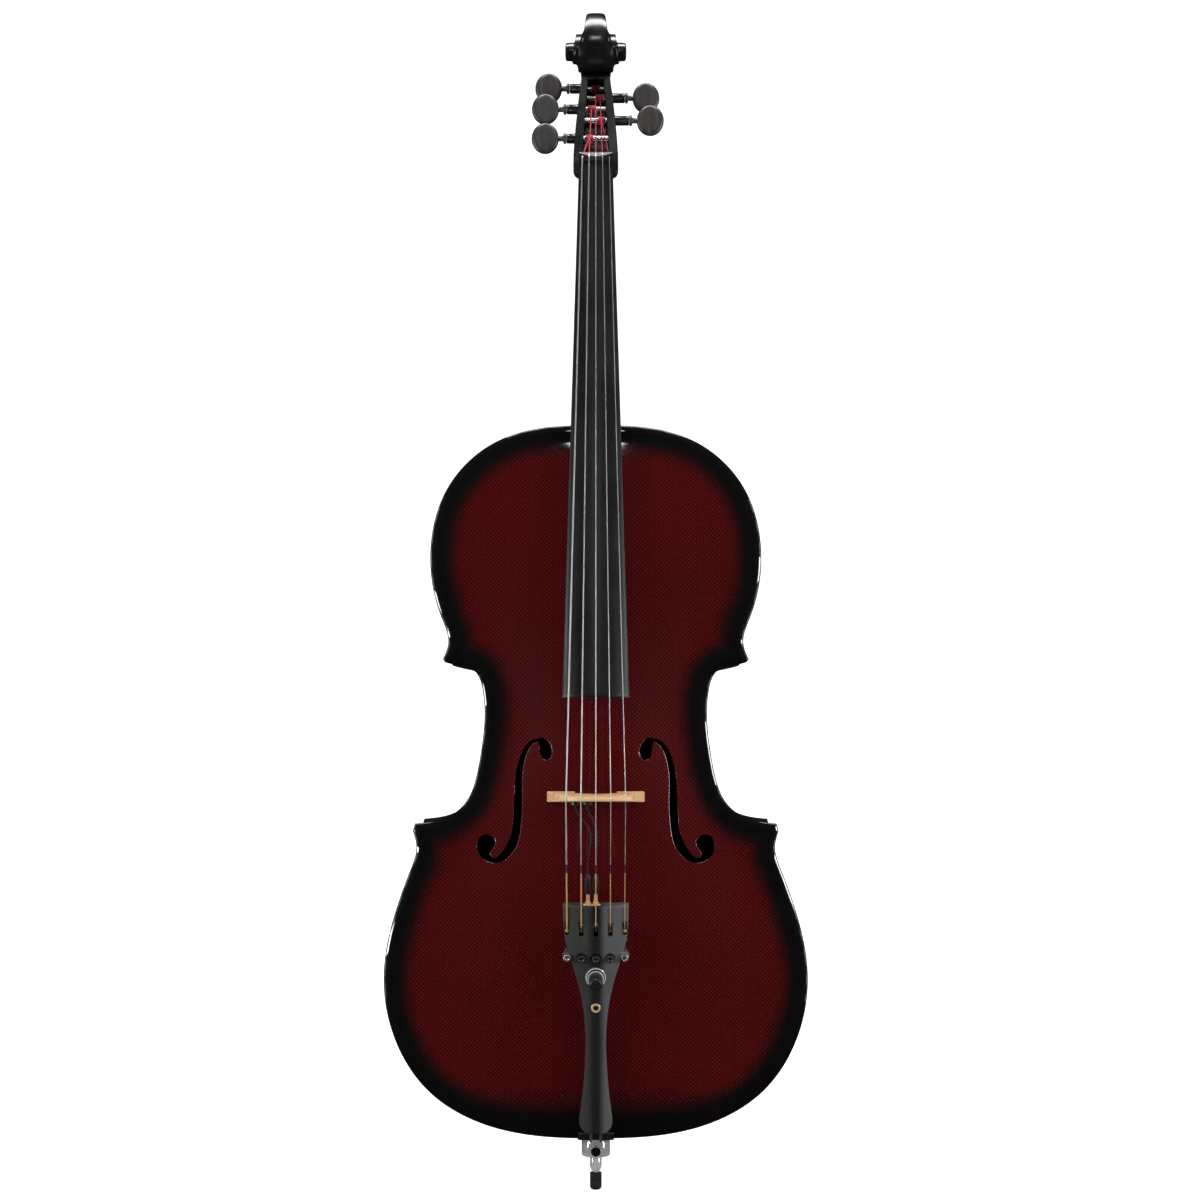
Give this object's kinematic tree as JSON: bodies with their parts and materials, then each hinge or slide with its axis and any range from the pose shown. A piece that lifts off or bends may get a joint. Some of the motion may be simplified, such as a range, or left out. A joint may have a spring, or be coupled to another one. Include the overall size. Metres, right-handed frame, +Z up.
{
  "type": "cello",
  "caption": "Acoustic-electric cello with a dark red woven-composite body, black neck and scroll, geared pegs, built-in fine tuners, volume knob and a retracted endpin.",
  "frame": {"origin": "middle of the underside of the endpin's rubber tip, with the endpin pushed in", "axes": "+Z up the instrument towards the scroll, -Y towards the strings' side (the front), +X towards the treble side"},
  "size_m": [0.4494, 0.2686, 1.281],
  "materials": {
    "tinted_weave": "clear-coated tinted carbon weave",
    "black_composite": "satin black carbon composite",
    "black_satin": "satin black",
    "tailpiece_black": "matt black moulding",
    "spruce": "bare spruce",
    "maple": "bare maple",
    "peg_grey": "satin dark grey",
    "chrome": "polished",
    "steel": "turned",
    "string_metal": "flat-wound metal with silk ends",
    "red_silk": "silk wrapping",
    "gold": "gold-plated",
    "rubber": "black rubber",
    "cord": "black braided cord"
  },
  "bodies": {
    "cello_body": {"top_plate": "tinted_weave", "back_plate": "tinted_weave", "ribs": "tinted_weave", "linings": "black_composite", "neck_block": "black_composite", "end_block": "black_composite", "corner_blocks": "black_composite", "bass_bar": "spruce", "sound_post": "spruce", "neck": "black_composite", "fingerboard": "black_satin", "nut": "black_satin", "saddle": "black_satin", "bridge": "maple", "tailpiece": "tailpiece_black", "tailcord": "cord", "tuner_pivot_pin": "steel", "volume_pot": "steel", "volume_rings": "chrome", "pickup_socket": "gold", "pickup_plugs": "black_satin", "pickup_elements": "black_satin", "pickup_cables": "rubber", "endpin_plug": "black_composite", "endpin_collar": "chrome", "peg_housings": "black_composite", "string_c": "string_metal", "string_g": "string_metal", "string_d": "string_metal", "string_a": "string_metal", "string_e": "string_metal"},
    "peg_grip_c": {"peg_head_c": "peg_grey"},
    "peg_shaft_c": {"peg_post_c": "steel", "string_winding_c": "red_silk"},
    "peg_grip_g": {"peg_head_g": "peg_grey"},
    "peg_shaft_g": {"peg_post_g": "steel", "string_winding_g": "red_silk"},
    "peg_grip_d": {"peg_head_d": "peg_grey"},
    "peg_shaft_d": {"peg_post_d": "steel", "string_winding_d": "red_silk"},
    "peg_grip_a": {"peg_head_a": "peg_grey"},
    "peg_shaft_a": {"peg_post_a": "steel", "string_winding_a": "red_silk"},
    "peg_grip_e": {"peg_head_e": "peg_grey"},
    "peg_shaft_e": {"peg_post_e": "steel", "string_winding_e": "red_silk"},
    "fine_tuner_screw_c": {"tuner_screw_c": "steel"},
    "fine_tuner_lever_c": {"tuner_lever_c": "steel"},
    "fine_tuner_screw_g": {"tuner_screw_g": "steel"},
    "fine_tuner_lever_g": {"tuner_lever_g": "steel"},
    "fine_tuner_screw_d": {"tuner_screw_d": "steel"},
    "fine_tuner_lever_d": {"tuner_lever_d": "steel"},
    "fine_tuner_screw_a": {"tuner_screw_a": "steel"},
    "fine_tuner_lever_a": {"tuner_lever_a": "steel"},
    "fine_tuner_screw_e": {"tuner_screw_e": "steel"},
    "fine_tuner_lever_e": {"tuner_lever_e": "steel"},
    "volume_control": {"volume_knob": "black_satin"},
    "endpin": {"endpin_rod": "chrome", "endpin_tip": "rubber"},
    "endpin_clamp": {"endpin_thumbscrew": "black_satin"}
  },
  "joints": [
    {"name": "peg_turn_c", "type": "hinge", "parent": "cello_body", "child": "peg_grip_c", "pos_m": [0, -0.018, 1.138], "axis": [1, 0, 0], "continuous": true},
    {"name": "post_turn_c", "type": "hinge", "parent": "cello_body", "child": "peg_shaft_c", "pos_m": [0, -0.018, 1.138], "axis": [1, 0, 0], "continuous": true},
    {"name": "peg_turn_g", "type": "hinge", "parent": "cello_body", "child": "peg_grip_g", "pos_m": [0, -0.0065, 1.173], "axis": [1, 0, 0], "continuous": true},
    {"name": "post_turn_g", "type": "hinge", "parent": "cello_body", "child": "peg_shaft_g", "pos_m": [0, -0.0065, 1.173], "axis": [1, 0, 0], "continuous": true},
    {"name": "peg_turn_d", "type": "hinge", "parent": "cello_body", "child": "peg_grip_d", "pos_m": [0, 0.0085, 1.2], "axis": [1, 0, 0], "continuous": true},
    {"name": "post_turn_d", "type": "hinge", "parent": "cello_body", "child": "peg_shaft_d", "pos_m": [0, 0.0085, 1.2], "axis": [1, 0, 0], "continuous": true},
    {"name": "peg_turn_a", "type": "hinge", "parent": "cello_body", "child": "peg_grip_a", "pos_m": [0, 0.0015, 1.1875], "axis": [1, 0, 0], "continuous": true},
    {"name": "post_turn_a", "type": "hinge", "parent": "cello_body", "child": "peg_shaft_a", "pos_m": [0, 0.0015, 1.1875], "axis": [1, 0, 0], "continuous": true},
    {"name": "peg_turn_e", "type": "hinge", "parent": "cello_body", "child": "peg_grip_e", "pos_m": [0, -0.0125, 1.159], "axis": [1, 0, 0], "continuous": true},
    {"name": "post_turn_e", "type": "hinge", "parent": "cello_body", "child": "peg_shaft_e", "pos_m": [0, -0.0125, 1.159], "axis": [1, 0, 0], "continuous": true},
    {"name": "screw_travel_c", "type": "slide", "parent": "cello_body", "child": "fine_tuner_screw_c", "axis": [0, -0.9711, -0.2385], "range_m": [0, 0.003]},
    {"name": "lever_tilt_c", "type": "hinge", "parent": "cello_body", "child": "fine_tuner_lever_c", "pos_m": [-0.0295, -0.12718, 0.2843], "axis": [-1, 0, 0], "range_deg": [0, 10.25]},
    {"name": "screw_travel_g", "type": "slide", "parent": "cello_body", "child": "fine_tuner_screw_g", "axis": [0, -0.9711, -0.2385], "range_m": [0, 0.003]},
    {"name": "lever_tilt_g", "type": "hinge", "parent": "cello_body", "child": "fine_tuner_lever_g", "pos_m": [-0.0148, -0.12718, 0.2843], "axis": [-1, 0, 0], "range_deg": [0, 10.25]},
    {"name": "screw_travel_d", "type": "slide", "parent": "cello_body", "child": "fine_tuner_screw_d", "axis": [0, -0.9711, -0.2385], "range_m": [0, 0.003]},
    {"name": "lever_tilt_d", "type": "hinge", "parent": "cello_body", "child": "fine_tuner_lever_d", "pos_m": [0, -0.12718, 0.2843], "axis": [-1, 0, 0], "range_deg": [0, 10.25]},
    {"name": "screw_travel_a", "type": "slide", "parent": "cello_body", "child": "fine_tuner_screw_a", "axis": [0, -0.9711, -0.2385], "range_m": [0, 0.003]},
    {"name": "lever_tilt_a", "type": "hinge", "parent": "cello_body", "child": "fine_tuner_lever_a", "pos_m": [0.0148, -0.12718, 0.2843], "axis": [-1, 0, 0], "range_deg": [0, 10.25]},
    {"name": "screw_travel_e", "type": "slide", "parent": "cello_body", "child": "fine_tuner_screw_e", "axis": [0, -0.9711, -0.2385], "range_m": [0, 0.003]},
    {"name": "lever_tilt_e", "type": "hinge", "parent": "cello_body", "child": "fine_tuner_lever_e", "pos_m": [0.0295, -0.12718, 0.2843], "axis": [-1, 0, 0], "range_deg": [0, 10.25]},
    {"name": "volume_turn", "type": "hinge", "parent": "cello_body", "child": "volume_control", "pos_m": [0, -0.13588, 0.24509], "axis": [0, 0.9711, 0.2385], "range_deg": [0, 300]},
    {"name": "endpin_slide", "type": "slide", "parent": "cello_body", "child": "endpin", "axis": [0, 0, -1], "range_m": [0, 0.33]},
    {"name": "clamp_turn", "type": "hinge", "parent": "cello_body", "child": "endpin_clamp", "pos_m": [0, -0.022, 0.046], "axis": [0, -1, 0], "range_deg": [0, 360]}
  ],
  "couplings": [
    {"joint": "post_turn_c", "follows": "peg_turn_c", "ratio": 0.25},
    {"joint": "post_turn_g", "follows": "peg_turn_g", "ratio": 0.25},
    {"joint": "post_turn_d", "follows": "peg_turn_d", "ratio": 0.25},
    {"joint": "post_turn_a", "follows": "peg_turn_a", "ratio": 0.25},
    {"joint": "post_turn_e", "follows": "peg_turn_e", "ratio": 0.25},
    {"joint": "lever_tilt_c", "follows": "screw_travel_c", "rad_per_m": 59.333},
    {"joint": "lever_tilt_g", "follows": "screw_travel_g", "rad_per_m": 59.333},
    {"joint": "lever_tilt_d", "follows": "screw_travel_d", "rad_per_m": 59.333},
    {"joint": "lever_tilt_a", "follows": "screw_travel_a", "rad_per_m": 59.333},
    {"joint": "lever_tilt_e", "follows": "screw_travel_e", "rad_per_m": 59.333}
  ]
}
